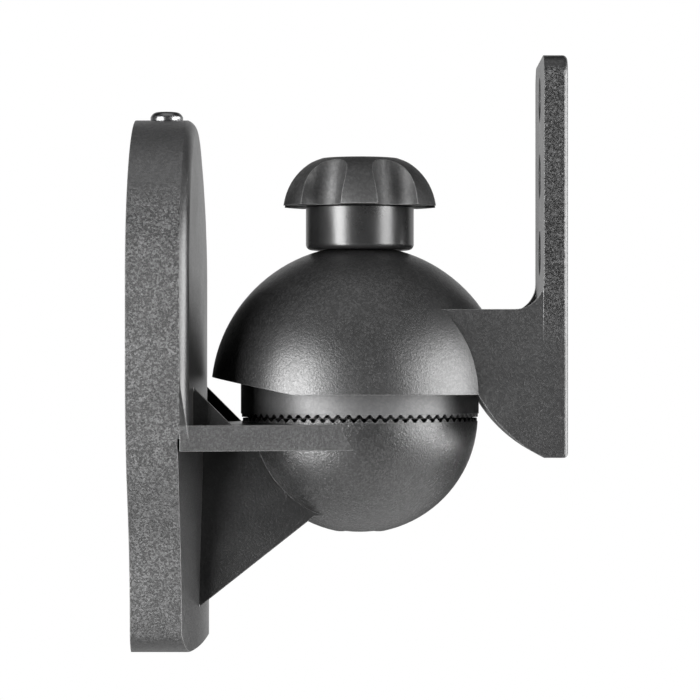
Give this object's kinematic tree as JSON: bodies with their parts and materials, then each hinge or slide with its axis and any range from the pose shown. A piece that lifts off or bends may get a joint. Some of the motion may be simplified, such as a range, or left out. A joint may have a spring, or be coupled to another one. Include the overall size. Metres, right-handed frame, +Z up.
{
  "type": "speaker wall bracket",
  "caption": "Wall bracket for a small loudspeaker: arched base, shelf with a clamped ball that swivels on teeth and tilts under a grip knob, and an upright plate.",
  "frame": {"origin": "on the wall face of the wall plate, in the middle plane, at the height of the tilt axis", "axes": "+X out of the wall towards the loudspeaker, +Z up, +Y across the bracket"},
  "size_m": [0.0889, 0.068, 0.1218],
  "materials": {
    "plate_plastic": "moulded",
    "body_plastic": "spark textured",
    "disc_plastic": "moulded",
    "arm_plastic": "fine matte",
    "collar_plastic": "polished",
    "knob_plastic": "satin",
    "screw_steel": "blackened",
    "bolt_steel": "zinc plated",
    "washer_steel": "zinc plated",
    "nut_steel": "zinc plated"
  },
  "bodies": {
    "base": {"wall_plate": "plate_plastic", "base_arm": "body_plastic", "lock_screw": "screw_steel", "lock_nut": "nut_steel", "clamp_bolt": "bolt_steel"},
    "swivel": {"toothed_disc": "disc_plastic"},
    "arm": {"speaker_arm": "arm_plastic"},
    "collar": {"pressure_collar": "collar_plastic", "clamp_washer": "washer_steel"},
    "knob": {"clamp_knob": "knob_plastic", "knob_nut": "nut_steel"}
  },
  "joints": [
    {"name": "swivel_turn", "type": "hinge", "parent": "base", "child": "swivel", "pos_m": [0.0465, 0, 0], "axis": [0, 0, 1], "range_deg": [-80, 80]},
    {"name": "tilt", "type": "hinge", "parent": "swivel", "child": "arm", "pos_m": [0.0465, 0, 0], "axis": [0, 1, 0], "range_deg": [-10, 10]},
    {"name": "collar_lift", "type": "slide", "parent": "base", "child": "collar", "axis": [0, 0, 1], "range_m": [0, 0.001]},
    {"name": "knob_turn", "type": "hinge", "parent": "collar", "child": "knob", "pos_m": [0.0465, 0, 0], "axis": [0, 0, 1], "range_deg": [0, 360]}
  ],
  "couplings": [
    {"joint": "collar_lift", "follows": "knob_turn", "m_per_rad": 0.000159}
  ]
}
